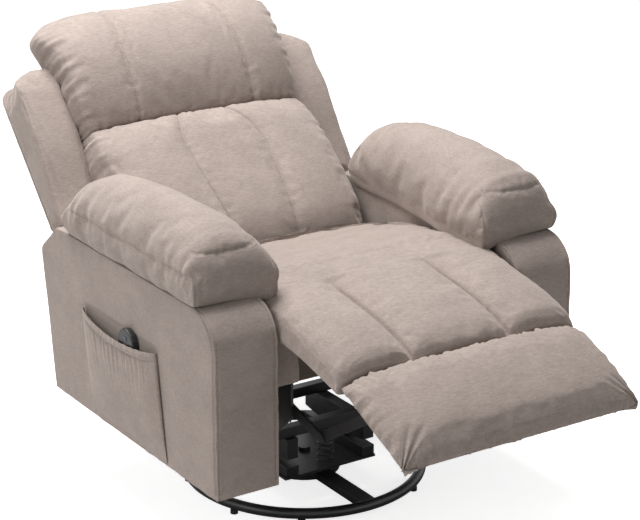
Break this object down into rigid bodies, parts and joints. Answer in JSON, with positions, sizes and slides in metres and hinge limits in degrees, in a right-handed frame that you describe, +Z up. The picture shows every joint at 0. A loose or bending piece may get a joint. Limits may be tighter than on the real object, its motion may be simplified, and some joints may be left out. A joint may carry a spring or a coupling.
{
  "type": "swivel recliner",
  "caption": "Padded fabric armchair on a ring base that turns and rocks, with a reclining back, a fold-out leg rest, pillow arms and a side pocket for a remote control.",
  "frame": {"origin": "centre of the bounding box, on the floor", "axes": "+Z up, the chair faces -Y with its leg rest out, +X is the sitter's left arm"},
  "size_m": [0.9737, 1.5973, 0.9906],
  "materials": {
    "black_steel": "satin",
    "glide_rubber": "matte",
    "greige_chenille": "matte",
    "webbing": "matte",
    "plywood": "matte",
    "dark_plastic": "satin",
    "key_rubber": "matte"
  },
  "bodies": {
    "base": {"base_spider": "black_steel", "bearing_cage": "black_steel", "bearing_lower_plate": "black_steel", "floor_glide_1": "glide_rubber", "floor_glide_2": "glide_rubber", "floor_glide_3": "glide_rubber", "floor_glide_4": "glide_rubber", "floor_glide_5": "glide_rubber", "floor_glide_6": "glide_rubber", "floor_glide_7": "glide_rubber", "floor_glide_8": "glide_rubber", "floor_ring": "black_steel", "king_bolt": "black_steel"},
    "turntable": {"bearing_upper_plate": "black_steel", "rocker_spring_front": "black_steel", "rocker_spring_rear": "black_steel", "rocker_track_left": "black_steel", "rocker_track_right": "black_steel"},
    "chair": {"arm_cover_left": "greige_chenille", "arm_cover_right": "greige_chenille", "arm_frame_left": "plywood", "arm_frame_right": "plywood", "arm_pillow_left": "greige_chenille", "arm_pillow_right": "greige_chenille", "arm_pocket": "greige_chenille", "bridge_pad": "greige_chenille", "rocker_cam_left": "black_steel", "rocker_cam_right": "black_steel", "rocker_crossbar_front": "black_steel", "rocker_crossbar_rear": "black_steel", "seat_box_side_left": "greige_chenille", "seat_box_side_right": "greige_chenille", "seat_cushion": "greige_chenille", "seat_front_rail": "plywood", "seat_rear_rail": "plywood", "seat_webbing": "webbing", "side_plate_left": "black_steel", "side_plate_right": "black_steel"},
    "root_links": {"root_link_left": "black_steel", "root_link_right": "black_steel"},
    "tip_links": {"tip_link_left": "black_steel", "tip_link_right": "black_steel"},
    "leg_rest": {"footrest_board": "plywood", "footrest_bracket_left": "black_steel", "footrest_bracket_right": "black_steel", "footrest_cushion": "greige_chenille"},
    "back": {"back_frame": "plywood", "back_hinge_left": "black_steel", "back_hinge_right": "black_steel", "back_panel": "greige_chenille", "back_wing_left": "greige_chenille", "back_wing_right": "greige_chenille", "head_cushion": "greige_chenille", "lumbar_cushion": "greige_chenille", "massage_motor_left": "dark_plastic", "massage_motor_right": "dark_plastic"},
    "remote": {"remote_case": "dark_plastic"},
    "upper_key": {"remote_key_1": "key_rubber"},
    "lower_key": {"remote_key_2": "key_rubber"},
    "release": {"release_ring": "black_steel"}
  },
  "joints": [
    {"name": "swivel", "type": "hinge", "parent": "base", "child": "turntable", "pos_m": [0, 0.03, 0.05], "axis": [0, 0, 1], "continuous": true},
    {"name": "rock", "type": "hinge", "parent": "turntable", "child": "chair", "pos_m": [0, 0.04, 0.1823], "axis": [1, 0, 0], "range_deg": [-7, 7], "stiffness_Nm_per_rad": 900, "springref_deg": 1, "deforming": ["rocker_spring_front", "rocker_spring_rear"]},
    {"name": "footrest_fold", "type": "hinge", "parent": "chair", "child": "root_links", "pos_m": [0, -0.17, 0.345], "axis": [1, 0, 0], "range_deg": [0, 54.19], "deforming": ["bridge_pad"]},
    {"name": "link_knee", "type": "hinge", "parent": "root_links", "child": "tip_links", "pos_m": [0, -0.3787, 0.29333], "axis": [1, 0, 0], "range_deg": [-109, 0]},
    {"name": "foot_panel_tilt", "type": "hinge", "parent": "tip_links", "child": "leg_rest", "pos_m": [0, -0.56069, 0.40781], "axis": [1, 0, 0], "range_deg": [0, 121]},
    {"name": "recline", "type": "hinge", "parent": "chair", "child": "back", "pos_m": [0, 0.29, 0.385], "axis": [-1, 0, 0], "range_deg": [-26, 17]},
    {"name": "remote_lift", "type": "slide", "parent": "chair", "child": "remote", "axis": [0, 0, 1], "range_m": [0, 0.105]},
    {"name": "upper_key_press", "type": "slide", "parent": "remote", "child": "upper_key", "axis": [1, 0, 0], "range_m": [0, 0.0008], "stiffness_N_per_m": 400},
    {"name": "lower_key_press", "type": "slide", "parent": "remote", "child": "lower_key", "axis": [1, 0, 0], "range_m": [0, 0.0008], "stiffness_N_per_m": 400},
    {"name": "release_pull", "type": "slide", "parent": "chair", "child": "release", "axis": [0, 0, 1], "range_m": [0, 0.03], "stiffness_N_per_m": 500}
  ],
  "couplings": [
    {"joint": "link_knee", "follows": "footrest_fold", "ratio": -1.9941},
    {"joint": "foot_panel_tilt", "follows": "footrest_fold", "ratio": 2.2174}
  ]
}
